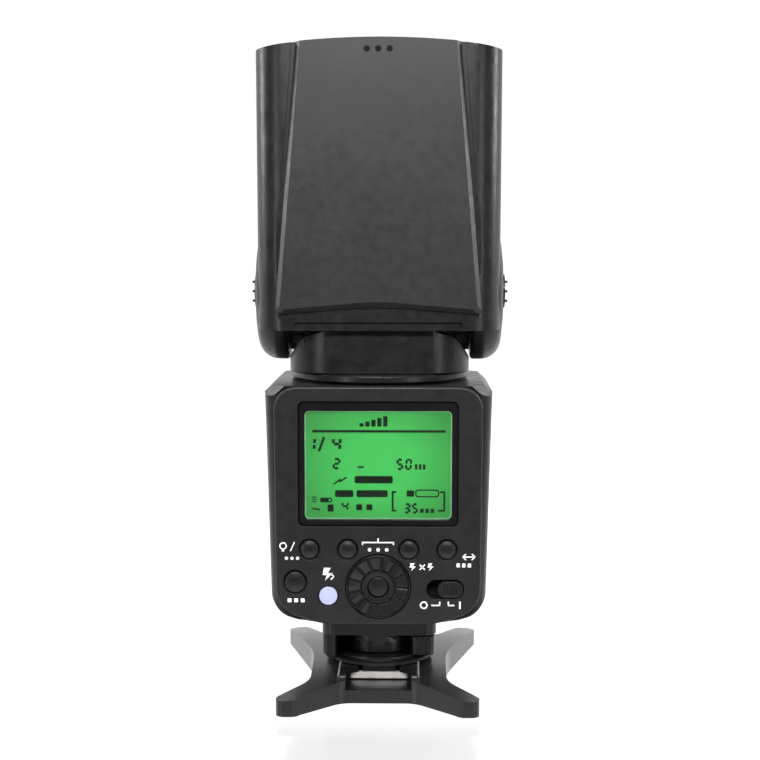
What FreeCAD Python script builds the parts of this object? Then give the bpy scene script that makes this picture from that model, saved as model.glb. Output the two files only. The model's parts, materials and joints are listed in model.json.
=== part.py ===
import FreeCAD, Part
import math
import os

# Speedlight flash standing on its mini stand, head pointing straight up.
# Millimetres.  X to the right seen from behind, -Y the control side, +Z up.
# The origin is on the ground under the swivel axis, at the middle of the stand.

Vector = FreeCAD.Vector

# ---- driving dimensions ----
STAND_BOTTOM_Z = 0.4
STAND_CROWN_Z = 8.6
STAND_CROWN_R = 400.0
PEDESTAL_Z = 9.3
PAD_H = 1.2
PAD_R = 2.4
PAD_REAR = (25.8, -39.4)
PAD_FRONT = (28.2, 37.2)
INSERT_Y = 11.6
INSERT_TOP_Z = 6.8
THREAD_R = 2.6

SHOE_W = 18.6
SHOE_T = 2.0
SHOE_BOTTOM_Z = 4.9
SHOE_REAR_Y = -18.0
SHOE_FRONT_Y = 3.0
SHOE_NECK_W = 12.2
SLOT_GAP = 0.2
LOCK_PIN_Y = -0.4

FOOT_BOTTOM_Z = 9.7
BODY_BOTTOM_Z = 24.0
BODY_TOP_Z = 98.3
BODY_HALF_TOP = 34.8
BODY_HALF_LOW = 32.8
BODY_REAR_Y = -29.0
BODY_FRONT_Y = 28.0
BODY_SPLIT_Y = -12.0
WALL = 2.2

PANEL_REAR_Y = -30.4
PANEL_BACK_Y = -28.6
LCD_X = 22.4
LCD_LOW_Z = 57.6
LCD_TOP_Z = 90.8
KEY_Z = 48.5
KEY_X = (-20.9, -9.3, 9.3, 20.9)
KEY_R = 2.75
MODE_X, MODE_Z, MODE_R = -25.3, 38.4, 3.2
PILOT_X, PILOT_Z, PILOT_R = -15.2, 34.2, 2.8
DIAL_Z, DIAL_R = 37.1, 9.7
SET_R = 3.0
SWITCH_X, SWITCH_Z = 20.4, 36.3
SWITCH_W, SWITCH_H = 11.4, 6.0
KNOB_W, KNOB_H = 7.6, 5.0

RING_LOW_Z = 98.9
RING_TOP_Z = 101.2
RING_R = 28.1
SPIGOT_R = 21.9
NECK_HALF = 28.1
NECK_REAR_Y = -23.0
NECK_FRONT_Y = 8.5
BARREL_R = 18.6
PIVOT_Z = 126.0
AXLE_R = 5.0
RUN = 0.06

HEAD_TOP_Z = 202.1
HEAD_CROWN_R = 250.0
HEAD_HALF_TOP = 37.5
HEAD_HALF_LOW = 37.2
HEAD_REAR_Y = -26.2
HEAD_FRONT_Y = 21.0
HEAD_SPLIT_Y = -6.0
SKIRT_Z = 114.8
CHEEK_IN_X = 28.6
CHEEK_OUT_X = 38.2
CHEEK_R = 21.6
COVER_REAR_Y = -28.0

ROD_X, ROD_Y, ROD_R = 31.9, -12.0, 1.2
SCREW_X, SCREW_Y, SCREW_R = -24.0, 14.2, 1.5

DOOR_Y0, DOOR_Y1 = -6.0, 23.0
DOOR_Z0, DOOR_Z1 = 32.0, 63.5
DOOR_PIN_X, DOOR_PIN_Y, DOOR_PIN_R = 31.7, 23.4, 1.0
PORT_Y0, PORT_Y1 = -4.0, 15.0
PORT_Z0, PORT_Z1 = 69.5, 87.5
PORT_PIN_X, PORT_PIN_R = -34.0, 0.7
JACK_Y, JACK_Z, JACK_R = 5.5, 64.5, 1.8
CELL_R = 7.1
CELL_L = 50.0


# ---- drawing helpers ----
def box(x0, x1, y0, y1, z0, z1):
    return Part.makeBox(x1 - x0, y1 - y0, z1 - z0, Vector(x0, y0, z0))


def rod_x(y, z, r, x0, x1):
    return Part.makeCylinder(r, x1 - x0, Vector(x0, y, z), Vector(1, 0, 0))


def rod_y(x, z, r, y0, y1):
    return Part.makeCylinder(r, y1 - y0, Vector(x, y0, z), Vector(0, 1, 0))


def rod_z(x, y, r, z0, z1):
    return Part.makeCylinder(r, z1 - z0, Vector(x, y, z0), Vector(0, 0, 1))


def placed(axis, a, b, level):
    if axis == "x":
        return Vector(level, a, b)
    if axis == "y":
        return Vector(a, level, b)
    return Vector(a, b, level)


def outline(corners, axis, level):
    """Closed wire through (a, b, radius) corners, each rounded by its radius."""
    edges = []
    ends = []
    count = len(corners)
    for i in range(count):
        a, b, r = corners[i]
        here = Vector(a, b, 0)
        before = Vector(corners[i - 1][0], corners[i - 1][1], 0)
        after = Vector(corners[(i + 1) % count][0], corners[(i + 1) % count][1], 0)
        if r <= 0:
            ends.append((here, here, None))
            continue
        u = (before - here).normalize()
        v = (after - here).normalize()
        half = u.getAngle(v) / 2
        reach = r / math.tan(half)
        middle = here + (u + v).normalize() * (r / math.sin(half))
        crown = middle + (here - middle).normalize() * r
        ends.append((here + u * reach, here + v * reach, crown))
    for i in range(count):
        start, stop, crown = ends[i]
        p = placed(axis, start.x, start.y, level)
        q = placed(axis, stop.x, stop.y, level)
        if crown is not None:
            edges.append(Part.Arc(p, placed(axis, crown.x, crown.y, level), q).toShape())
        following = ends[(i + 1) % count][0]
        n = placed(axis, following.x, following.y, level)
        if (n - q).Length > 1e-6:
            edges.append(Part.makeLine(q, n))
    return Part.Wire(edges)


def prism(corners, axis, low, high):
    face = Part.Face(outline(corners, axis, low))
    return face.extrude(placed(axis, 0, 0, high - low))


def rect(x0, x1, z0, z1, r):
    return [(x0, z0, r), (x1, z0, r), (x1, z1, r), (x0, z1, r)]


def mirror_x(shape):
    return shape.mirror(Vector(0, 0, 0), Vector(1, 0, 0))


def both_sides(shape):
    return Part.makeCompound([shape, mirror_x(shape)])


def fuse(first, *others):
    for other in others:
        first = first.fuse(other)
    return first.removeSplitter()


def cut(first, *others):
    for other in others:
        first = first.cut(other)
    return first


def soften(shape, radius, keep):
    """Round every edge that the test keeps."""
    chosen = [edge for edge in shape.Edges if keep(edge)]
    return shape.makeFillet(radius, chosen)


def flat_at(axis, level):
    index = "XYZ".index(axis)

    def test(edge):
        lows = (edge.BoundBox.XMin, edge.BoundBox.YMin, edge.BoundBox.ZMin)
        highs = (edge.BoundBox.XMax, edge.BoundBox.YMax, edge.BoundBox.ZMax)
        return abs(lows[index] - level) < 0.01 and abs(highs[index] - level) < 0.01
    return test


def save(name, shape):
    shape.exportStep("parts/" + name + ".step")


os.makedirs("parts", exist_ok=True)


def cross_head(head, a, b, level, axis):
    """Cut a cross recess, 0.5 deep, into a screw head whose face lies at the level."""
    for wide, tall in ((1.3, 0.22), (0.22, 1.3)):
        slot = prism(rect(a - wide, a + wide, b - tall, b + tall, 0), axis, level - 0.5, level + 0.5)
        head = head.cut(slot)
    return head


# ---- mini stand ----
def stand_plan(low, high):
    """Low X: short splayed legs at the rear, longer ones at the front."""
    right = [(11.3, -29.5, 8.0), (25.2, -43.2, 2.2), (33.4, -43.2, 2.6), (21.0, -28.0, 12.0),
             (21.2, 0.0, 60.0), (33.6, 42.8, 3.5), (26.8, 42.8, 3.0), (18.8, 25.0, 6.0)]
    left = [(-x, y, r) for x, y, r in reversed(right)]
    return prism(right + left, "z", low, high)


def make_stand():
    crown = Part.makeSphere(STAND_CROWN_R, Vector(0, 0, STAND_CROWN_Z - STAND_CROWN_R))
    legs = stand_plan(STAND_BOTTOM_Z, 9.0).common(crown)
    pedestal = prism([(-12.8, -29.3, 1.0), (12.8, -29.3, 1.0), (12.8, 10.0, 4.0), (-12.8, 10.0, 4.0)],
                     "z", 3.0, PEDESTAL_Z)
    pedestal = soften(pedestal, 1.4, flat_at("Z", PEDESTAL_Z))
    base = fuse(legs, pedestal)
    floor_z = SHOE_BOTTOM_Z - 2 * SLOT_GAP
    slot_half = SHOE_W / 2 + SLOT_GAP
    slot = box(-slot_half, slot_half, -40, SHOE_FRONT_Y + 0.3, floor_z, SHOE_BOTTOM_Z + SHOE_T + SLOT_GAP)
    throat_half = SHOE_NECK_W / 2 + 0.3
    throat = prism([(-throat_half, -40, 0), (throat_half, -40, 0),
                    (throat_half, SHOE_FRONT_Y + 0.3, 2.0), (-throat_half, SHOE_FRONT_Y + 0.3, 2.0)],
                   "z", floor_z, 12.0)
    mouth = prism([(-10.2, -40, 0), (10.2, -40, 0), (10.2, -21.5, 0), (throat_half, -18.0, 0),
                   (-throat_half, -18.0, 0), (-10.2, -21.5, 0)], "z", floor_z, 12.0)
    pin_hole = rod_z(0, LOCK_PIN_Y, 1.3, 2.8, 6.0)
    base = cut(base, slot, throat, mouth, pin_hole)
    base = cut(base, rod_z(0, INSERT_Y, 5.5, STAND_BOTTOM_Z - 1, INSERT_TOP_Z))
    pads = []
    for x, y in (PAD_REAR, PAD_FRONT):
        pads += [rod_z(x, y, PAD_R, 0, PAD_H), rod_z(-x, y, PAD_R, 0, PAD_H)]
    base = cut(base, *pads)
    insert = rod_z(0, INSERT_Y, 5.5, STAND_BOTTOM_Z, INSERT_TOP_Z)
    insert = cut(insert, rod_z(0, INSERT_Y, THREAD_R, 0, INSERT_TOP_Z - 0.6))
    save("stand_base", base)
    save("stand_thread_insert", insert)
    save("stand_pads", Part.makeCompound(pads))


# ---- shoe foot and lock ----
def make_foot():
    plate = prism([(-SHOE_W / 2, SHOE_REAR_Y, 0.8), (SHOE_W / 2, SHOE_REAR_Y, 0.8),
                   (SHOE_W / 2, SHOE_FRONT_Y, 1.6), (-SHOE_W / 2, SHOE_FRONT_Y, 1.6)],
                  "z", SHOE_BOTTOM_Z, SHOE_BOTTOM_Z + SHOE_T)
    web = prism([(-SHOE_NECK_W / 2, SHOE_REAR_Y + 1, 1.5), (SHOE_NECK_W / 2, SHOE_REAR_Y + 1, 1.5),
                 (SHOE_NECK_W / 2, SHOE_FRONT_Y - 0.5, 1.5), (-SHOE_NECK_W / 2, SHOE_FRONT_Y - 0.5, 1.5)],
                "z", SHOE_BOTTOM_Z + SHOE_T, FOOT_BOTTOM_Z)
    foot = cut(plate, rod_z(0, LOCK_PIN_Y, 1.0, 0, 20))
    pins = [(0, -8.0, 1.3), (-3.4, -4.0, 0.9), (3.4, -4.0, 0.9), (-3.4, -12.0, 0.9), (3.4, -12.0, 0.9)]
    contacts = []
    for x, y, r in pins:
        foot = cut(foot, rod_z(x, y, r, 0, SHOE_BOTTOM_Z + 1.6))
        contacts.append(rod_z(x, y, r, SHOE_BOTTOM_Z - 0.15, SHOE_BOTTOM_Z + 1.6))
    save("shoe_plate", foot)
    save("shoe_contacts", Part.makeCompound(contacts))

    collar = prism([(-18.0, -17.0, 4), (18.0, -17.0, 4), (18.0, 19.0, 6), (-18.0, 19.0, 6)],
                   "z", 18.4, BODY_BOTTOM_Z)
    lower_disc = rod_z(0, -4.0, 17.0, FOOT_BOTTOM_Z, 10.5)
    upper_disc = rod_z(0, -2.4, 14.6, 10.5, 11.1)
    core = rod_z(0, 0, 9.5, 11.0, 18.4)
    front_block = prism([(-17.0, 6.0, 2), (17.0, 6.0, 2), (17.0, 17.5, 5), (-17.0, 17.5, 5)],
                        "z", FOOT_BOTTOM_Z, 18.4)
    post = prism([(-17.9, -15.5, 1.8), (-13.4, -15.5, 1.5), (-13.4, 8.0, 1.5), (-17.9, 8.0, 1.5)],
                 "z", 10.4, 18.4)
    post = cut(post, prism([(-18.5, 10.0, 0), (-15.0, 10.0, 0), (-18.5, 13.0, 0)], "y", -20, 10))
    ring_room = cut(rod_z(0, 0, 12.5, 11.1, 17.6), rod_z(0, 0, 9.5, 11.0, 18.0))
    housing = fuse(collar, lower_disc, upper_disc, core, web, cut(fuse(front_block, post), ring_room))
    housing = cut(housing, ring_room)
    housing = cut(housing, rod_z(0, LOCK_PIN_Y, 1.35, 0, 15.2))
    screws = []
    for x in (-9.5, 9.5):
        housing = cut(housing, rod_z(x, 13.6, 2.1, FOOT_BOTTOM_Z, 11.4))
        screws.append(cross_head(rod_z(x, 13.6, 2.0, 10.0, 11.4), x, 13.6, 10.0, "z"))
    save("foot_housing", housing)
    save("foot_screws", Part.makeCompound(screws))

    ring = cut(rod_z(0, 0, 11.9, 11.5, 17.3), rod_z(0, 0, 9.5 + RUN, 11.0, 18.0))
    grip = prism([(10.4, -14.6, 1.2), (17.5, -14.6, 1.6), (17.5, -3.0, 1.6), (9.0, -3.0, 0.5)],
                 "z", 11.5, 17.3)
    grip = cut(grip, rod_z(0, 0, 11.0, 11.0, 18.0))
    ribs = [box(x, x + 0.7, -15.2, -14.2, 12.1, 16.7) for x in (11.5, 13.3, 15.1)]
    skin = cut(rod_z(0, 0, 12.2, 11.5, 17.3), rod_z(0, 0, 11.6, 11.0, 18.0))
    bars = [skin.common(box(x, x + 4.8, -13, 0, z, z + 0.5)) for x in (-7.4, 2.0) for z in (13.9, 16.6)]
    lever = fuse(ring, grip, *ribs, *bars)
    save("lock_lever", lever)
    save("lock_pin", rod_z(0, LOCK_PIN_Y, 0.95, SHOE_BOTTOM_Z + 0.2, 13.0))


# ---- battery body ----
def body_section(half, z, inset):
    wide = half - inset
    rear = BODY_REAR_Y + inset
    front = BODY_FRONT_Y - inset
    return outline([(-wide, rear, 5.5 - inset / 2), (wide, rear, 5.5 - inset / 2),
                    (wide, front, 10.0 - inset), (-wide, front, 10.0 - inset)], "z", z)


def body_block(inset, z0, z1):
    def half_at(z):
        share = (z - BODY_BOTTOM_Z) / (BODY_TOP_Z - BODY_BOTTOM_Z)
        return BODY_HALF_LOW + (BODY_HALF_TOP - BODY_HALF_LOW) * share
    low = body_section(half_at(z0), z0, inset)
    top = body_section(half_at(z1), z1, inset)
    return Part.makeLoft([low, top], True, True)


def shoulder_wedge():
    """Sloping facet along the right top edge of the body."""
    return prism([(BODY_HALF_TOP - 2.6, BODY_TOP_Z + 0.1, 0), (BODY_HALF_TOP + 2, BODY_TOP_Z + 0.1, 0),
                  (BODY_HALF_TOP + 2, BODY_TOP_Z - 3.0, 0), (BODY_HALF_TOP - 0.1, BODY_TOP_Z - 2.0, 0)],
                 "y", -40, 40)


def corner_wedge():
    """Small facet across the right rear top corner of the body."""
    reach = 6.4
    corner = Vector(BODY_HALF_TOP, BODY_REAR_Y, BODY_TOP_Z)
    across = [corner + Vector(-reach, 0, 0), corner + Vector(0, reach, 0), corner + Vector(0, 0, -reach)]
    face = Part.Face(Part.makePolygon(across + [across[0]]))
    face.scale(3.0, face.CenterOfMass)
    return face.extrude(Vector(6, -6, 6))


def belly(inset):
    """Front outline that rounds the body's bottom corners."""
    return prism([(-37.2 + inset, 110.0, 0), (37.2 - inset, 110.0, 0),
                  (33.0 - inset, 29.0 + inset, 9.2 - inset), (16.0, BODY_BOTTOM_Z + inset, 30.0),
                  (-16.0, BODY_BOTTOM_Z + inset, 30.0), (-33.0 + inset, 29.0 + inset, 9.2 - inset)],
                 "y", -60, 60)


def panel_outline(grow):
    """Rounded control panel: straight sides, wide bowed bottom."""
    return [(-31.6 - grow, 90.0, 0), (-31.6 - grow, 98.2 + grow, 7.0), (31.6 + grow, 98.2 + grow, 7.0),
            (31.6 + grow, 90.0, 0), (31.1 + grow, 29.6 - grow, 9.0), (17.0, 25.2 - grow, 30.0),
            (-17.0, 25.2 - grow, 30.0), (-31.1 - grow, 29.6 - grow, 9.0)]


def make_body_shells():
    outer = cut(body_block(0, BODY_BOTTOM_Z, BODY_TOP_Z), shoulder_wedge(), mirror_x(shoulder_wedge()),
                corner_wedge(), mirror_x(corner_wedge())).common(belly(0))
    chin = prism([(BODY_REAR_Y - 1, BODY_BOTTOM_Z - 1, 0), (BODY_REAR_Y + 7.0, BODY_BOTTOM_Z - 1, 0),
                  (BODY_REAR_Y - 1, BODY_BOTTOM_Z + 3.0, 0)], "x", -40, 40)
    outer = cut(outer, chin)
    inner = body_block(WALL, BODY_BOTTOM_Z + WALL, BODY_TOP_Z - 5.2).common(belly(WALL))
    crown_room = prism(rect(-30.0, 30.0, -24.5, 24.5, 8.0), "z", BODY_TOP_Z - 6.0, BODY_TOP_Z - 2.4)
    shell = cut(outer, inner, crown_room)
    shell = cut(shell, rod_z(0, 0, SPIGOT_R + RUN, BODY_TOP_Z - 5, BODY_TOP_Z + 5))
    shell = cut(shell, rod_z(0, 0, 6.0, 20, 30))

    half = box(-60, 60, -60, BODY_SPLIT_Y - 0.12, 0, 120)
    rear = shell.common(half)
    rear = cut(rear, prism(panel_outline(0.45), "y", -40, PANEL_BACK_Y))
    rear = cut(rear, prism(rect(-25.0, 25.0, 54.8, 94.4, 2.0), "y", -40, -20))
    for x in KEY_X:
        rear = cut(rear, rod_y(x, KEY_Z, KEY_R + 0.9, -40, -20))
    rear = cut(rear, rod_y(MODE_X, MODE_Z, MODE_R + 0.9, -40, -20))
    rear = cut(rear, rod_y(PILOT_X, PILOT_Z, PILOT_R + 0.9, -40, -20))
    rear = cut(rear, rod_y(0, DIAL_Z, 5.2, -40, -20))
    switch_hole = rect(SWITCH_X - 6.2, SWITCH_X + 6.2, SWITCH_Z - 3.4, SWITCH_Z + 3.4, 1)
    rear = cut(rear, prism(switch_hole, "y", -40, -20))
    save("body_rear_shell", rear)

    front = shell.common(box(-60, 60, BODY_SPLIT_Y + 0.12, 60, 0, 120))
    front = cut(front, box(29, 40, DOOR_Y0 - 0.35, DOOR_Y1 + 0.35, DOOR_Z0 - 0.35, DOOR_Z1 + 0.35))
    front = cut(front, rod_z(DOOR_PIN_X, DOOR_PIN_Y, DOOR_PIN_R + 0.35, DOOR_Z0 - 0.35, DOOR_Z1 + 0.35))
    front = cut(front, box(-40, -30, PORT_Y0 - 0.3, PORT_Y1 + 0.3, PORT_Z0 - 0.3, PORT_Z1 + 0.3))
    front = cut(front, rod_z(PORT_PIN_X, PORT_Y1, PORT_PIN_R + 0.35, PORT_Z0 - 0.3, PORT_Z1 + 0.3))
    front = cut(front, rod_x(JACK_Y, JACK_Z, 3.05, -40, -30))
    front = cut(front, prism(rect(-20.3, 20.3, 56.7, 80.3, 4.0), "y", 20, 40))
    for x in (-22.5, 22.5):
        front = cut(front, rod_y(x, 33.0, 1.9, 26.4, 40))
        front = cut(front, rod_y(x, 90.0, 1.9, 26.4, 40))
    save("body_front_shell", front)
    return outer


def make_controls():
    fascia = prism(panel_outline(0), "y", PANEL_REAR_Y, PANEL_BACK_Y)
    fascia = soften(fascia, 0.7, flat_at("Y", PANEL_REAR_Y))
    fascia = cut(fascia, prism(rect(-24.3, 24.3, 55.6, 93.8, 1.8), "y", -40, -20))
    for x in KEY_X:
        fascia = cut(fascia, rod_y(x, KEY_Z, KEY_R + 0.75, -40, -29.7))
        fascia = cut(fascia, rod_y(x, KEY_Z, KEY_R + 0.3, -40, -20))
    fascia = cut(fascia, rod_y(MODE_X, MODE_Z, MODE_R + 0.75, -40, -29.7))
    fascia = cut(fascia, rod_y(MODE_X, MODE_Z, MODE_R + 0.3, -40, -20))
    fascia = cut(fascia, rod_y(PILOT_X, PILOT_Z, PILOT_R + 0.55, -40, -29.9))
    fascia = cut(fascia, rod_y(PILOT_X, PILOT_Z, PILOT_R + 0.3, -40, -20))
    fascia = cut(fascia, rod_y(0, DIAL_Z, DIAL_R + 0.4, -40, -29.2), rod_y(0, DIAL_Z, 4.5 + 0.08, -40, -20))
    fascia = cut(fascia, prism(rect(SWITCH_X - SWITCH_W / 2, SWITCH_X + SWITCH_W / 2,
                                    SWITCH_Z - SWITCH_H / 2, SWITCH_Z + SWITCH_H / 2, 2.8), "y", -40, -20))
    save("control_fascia", fascia)

    bezel = prism(rect(-24.1, 24.1, 55.8, 93.6, 1.7), "y", -29.5, -27.4)
    bezel = cut(bezel, prism(rect(-LCD_X, LCD_X, LCD_LOW_Z, LCD_TOP_Z, 1.4), "y", -40, -20))
    lip = prism(rect(-24.9, 24.9, 55.0, 94.2, 1.9), "y", -28.4, -26.9)
    aperture = rect(-LCD_X + 0.6, LCD_X - 0.6, LCD_LOW_Z + 0.6, LCD_TOP_Z - 0.6, 1.2)
    lip = cut(lip, prism(aperture, "y", -40, -20))
    lip = cut(lip, box(-60, 60, -40, PANEL_BACK_Y, 0, 200))
    save("lcd_bezel", fuse(bezel, lip))
    save("lcd_window", prism(rect(-LCD_X + 0.05, LCD_X - 0.05, LCD_LOW_Z + 0.05, LCD_TOP_Z - 0.05, 1.4),
                             "y", -29.3, -28.7))
    save("lcd_module", prism(rect(-LCD_X - 1.5, LCD_X + 1.5, LCD_LOW_Z - 1.5, LCD_TOP_Z + 1.5, 0.6),
                             "y", -26.8, -24.6))

    names = ("key_light", "key_minus", "key_plus", "key_zoom")
    for name, x in zip(names, KEY_X):
        save(name, round_key(x, KEY_Z, KEY_R, -30.9))
    save("mode_button", round_key(MODE_X, MODE_Z, MODE_R, -31.0))
    save("pilot_button", round_key(PILOT_X, PILOT_Z, PILOT_R, -30.9))

    pad = box(-28.0, 28.0, -25.3, -24.3, 33.5, 53.0)
    save("key_board", cut(pad, rod_y(0, DIAL_Z, 5.0, -40, 0)))

    dial = rod_y(0, DIAL_Z, DIAL_R, -31.3, -29.5)
    dial = soften(dial, 0.6, flat_at("Y", -31.3))
    wedges = 13
    for i in range(wedges):
        turn = 360.0 * i / wedges
        flute = prism([(5.6, -0.75, 0.3), (8.9, -1.25, 0.9), (8.9, 1.25, 0.9), (5.6, 0.75, 0.3)],
                      "y", -31.5, -30.7)
        flute.translate(Vector(0, 0, DIAL_Z))
        flute.rotate(Vector(0, 0, DIAL_Z), Vector(0, 1, 0), turn)
        dial = cut(dial, flute)
    dial = fuse(dial, rod_y(0, DIAL_Z, 4.5, -29.5, -24.6))
    dial = cut(dial, rod_y(0, DIAL_Z, SET_R + 0.3, -40, 0), rod_y(0, DIAL_Z, SET_R + 1.0, -40, -30.9))
    save("select_dial", dial)
    save("set_button", round_key(0, DIAL_Z, SET_R, -31.1))

    knob = prism(rect(SWITCH_X + 1.55 - KNOB_W / 2, SWITCH_X + 1.55 + KNOB_W / 2,
                      SWITCH_Z - KNOB_H / 2, SWITCH_Z + KNOB_H / 2, 2.3), "y", -30.9, -28.0)
    for i in range(5):
        x = SWITCH_X + 1.55 - 1.8 + 0.9 * i
        knob = cut(knob, box(x - 0.2, x + 0.2, -31.5, -30.4, SWITCH_Z - 1.8, SWITCH_Z + 1.8))
    tongue = box(SWITCH_X - 0.5, SWITCH_X + 3.6, -28.0, -26.0, SWITCH_Z - 1.5, SWITCH_Z + 1.5)
    save("power_switch", fuse(knob, tongue))


def round_key(x, z, r, top_y):
    cap = rod_y(x, z, r, top_y, -27.9)
    cap = soften(cap, 0.45, flat_at("Y", top_y))
    return fuse(cap, rod_y(x, z, r - 0.9, -27.9, -26.6))


def make_body_inside():
    cells = []
    springs = []
    start_x = -22.5
    tray = prism(rect(-12.9, 18.4, 29.7, 61.0, 2.0), "x", start_x - 3.5, 28.0)
    for y in (-4.9, 10.4):
        for z in (37.7, 53.0):
            tray = cut(tray, rod_x(y, z, CELL_R + 0.25, start_x - 0.5, 30))
            barrel = rod_x(y, z, CELL_R, start_x, start_x + CELL_L - 1.2)
            nub = rod_x(y, z, 2.7, start_x + CELL_L - 1.2, start_x + CELL_L)
            cells.append(fuse(barrel, nub))
            springs.append(rod_x(y, z, 3.4, start_x - 0.4, start_x - 0.1))
    tray = tray.common(belly(WALL + 0.3))
    save("battery_tray", tray)
    save("battery_cells", Part.makeCompound(cells))
    save("battery_contacts", Part.makeCompound(springs))
    tank = rod_x(8.0, 78.0, 9.4, -16.0, 28.0)
    save("main_capacitor", soften(tank, 1.2, lambda edge: edge.BoundBox.XLength < 0.01))
    board = box(-29.4, 29.4, -20.8, -19.2, 34.5, 86.0)
    parts = [box(-24, -12, -19.2, -15.5, 64, 74), box(2, 14, -19.2, -14.2, 66, 78),
             box(-20, -8, -19.2, -16.4, 36, 46), box(8, 20, -19.2, -16.8, 36, 44)]
    save("main_board", fuse(board, *parts))


def make_body_outside(outer):
    """Battery door with its latch, side port cover and sockets, front window, case screws."""
    skin = outer.common(box(20, 60, DOOR_Y0, DOOR_Y1, DOOR_Z0, DOOR_Z1))
    door = skin.common(box(30.4, 60, -60, 60, 0, 120))
    door = fuse(door, rod_z(DOOR_PIN_X, DOOR_PIN_Y, DOOR_PIN_R, DOOR_Z0, DOOR_Z1))
    door = cut(door, box(31.9, 60, DOOR_Y0 + 1.5, DOOR_Y0 + 8.1, 42.0, 51.0))
    save("battery_door", door)
    latch = box(32.1, 33.9, DOOR_Y0 + 1.8, DOOR_Y0 + 5.6, 42.3, 50.7)
    for i in range(4):
        y = DOOR_Y0 + 2.3 + 0.85 * i
        latch = cut(latch, box(33.5, 36, y, y + 0.4, 43.2, 49.8))
    save("door_latch", latch)

    cover = outer.common(box(-60, -32.8, PORT_Y0, PORT_Y1, PORT_Z0, PORT_Z1))
    cover = fuse(cover, rod_z(PORT_PIN_X, PORT_Y1, PORT_PIN_R, PORT_Z0, PORT_Z1))
    save("port_cover", cover)
    jack = cut(rod_x(JACK_Y, JACK_Z, 3.0, -34.1, -19.5), rod_x(JACK_Y, JACK_Z, JACK_R, -36, -20.5))
    save("sync_jack", jack)
    socket = box(-32.4, -22.0, 1.0, 10.0, 72.0, 85.0)
    socket = cut(socket, box(-33, -24.0, 2.6, 8.4, 73.6, 83.4))
    pins = [rod_x(5.5, z, 0.6, -30.5, -23.5) for z in (75.5, 78.5, 81.5)]
    save("power_socket", fuse(socket, *pins))
    save("assist_window", prism(rect(-20.0, 20.0, 57.0, 80.0, 3.8), "y", 25.6, 28.6))
    screws = []
    for x in (-22.5, 22.5):
        for z in (33.0, 90.0):
            screws.append(cross_head(rod_y(x, z, 1.7, 26.5, 27.7), x, z, 27.7, "y"))
    save("body_screws", Part.makeCompound(screws))


# ---- swivel and neck ----
def make_neck():
    ring = rod_z(0, 0, RING_R, RING_LOW_Z, RING_TOP_Z)
    ring = soften(ring, 0.5, lambda edge: edge.BoundBox.ZLength < 0.1)
    ring = fuse(ring, rod_z(0, 0, SPIGOT_R, 93.6, RING_LOW_Z))
    ring = cut(ring, rod_z(0, 0, 7.0, 80, 110))
    save("swivel_ring", ring)
    save("swivel_retainer", cut(rod_z(0, 0, 23.3, 91.6, 93.6), rod_z(0, 0, 7.0, 80, 110)))

    profile = [(-NECK_HALF, RING_TOP_Z, 0), (NECK_HALF, RING_TOP_Z, 0), (NECK_HALF, 105.8, 3.0),
               (24.0, 112.6, 5.5), (17.4, 114.6, 0), (17.4, 118.0, 0),
               (-17.4, 118.0, 0), (-17.4, 114.6, 0), (-24.0, 112.6, 5.5), (-NECK_HALF, 105.8, 3.0)]
    column = prism(profile, "y", NECK_REAR_Y, NECK_FRONT_Y)
    plan = [(-NECK_HALF, NECK_REAR_Y, 15.0), (NECK_HALF, NECK_REAR_Y, 15.0),
            (NECK_HALF, NECK_FRONT_Y, 8.0), (-NECK_HALF, NECK_FRONT_Y, 8.0)]
    column = column.common(prism(plan, "z", RING_TOP_Z, 130))
    barrel = rod_x(0, PIVOT_Z, BARREL_R, -28.2, 28.2)
    neck = fuse(column, barrel)
    room = fuse(rod_x(0, PIVOT_Z, BARREL_R - 2.2, -25.9, 25.9),
                box(-15.2, 15.2, NECK_REAR_Y + 2.4, NECK_FRONT_Y - 2.4, RING_TOP_Z - 1, PIVOT_Z))
    neck = cut(neck, room)
    neck = cut(neck, rod_x(0, PIVOT_Z, AXLE_R + 0.02, -40, 40))
    rear = neck.common(box(-60, 60, -60, HEAD_SPLIT_Y - 0.1, 0, 200))
    front = neck.common(box(-60, 60, HEAD_SPLIT_Y + 0.1, 60, 0, 200))
    save("neck_rear_shell", rear)
    save("neck_front_shell", front)
    axle = rod_x(0, PIVOT_Z, AXLE_R, 24.6, 35.8)
    flange = rod_x(0, PIVOT_Z, AXLE_R + 2.0, 24.6, 25.9)
    save("tilt_axles", both_sides(fuse(axle, flange)))


# ---- lamp head ----
def head_section(half, z, inset):
    wide = half - inset
    rear = HEAD_REAR_Y + inset
    front = HEAD_FRONT_Y - inset
    return outline([(-wide, rear, 10.0 - inset), (wide, rear, 10.0 - inset),
                    (wide, front, 7.0 - inset), (-wide, front, 7.0 - inset)], "z", z)


def cheek():
    """Round pivot lobe, turned about the tilt axis, with a well rounded outer rim."""
    profile = outline([(CHEEK_IN_X, 0, 0), (CHEEK_OUT_X, 0, 0), (CHEEK_OUT_X, CHEEK_R, 6.2),
                       (CHEEK_IN_X, CHEEK_R, 1.0)], "y", 0)
    face = Part.Face(profile)
    lobe = face.revolve(Vector(0, 0, 0), Vector(1, 0, 0), 360)
    lobe.translate(Vector(0, 0, PIVOT_Z))
    return lobe


def cover_outline(grow):
    top = HEAD_TOP_Z + 1.0
    return [(-23.4 - grow, top, 0.6), (-30.2 - grow, 120.9 - grow, 2.0), (0, 123.4 - grow, 120.0),
            (30.2 + grow, 120.9 - grow, 2.0), (23.4 + grow, top, 0.6)]


def head_crown():
    """Everything under the gently bowed top of the head."""
    return rod_y(0, HEAD_TOP_Z - HEAD_CROWN_R, HEAD_CROWN_R, -60, 60)


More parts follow.
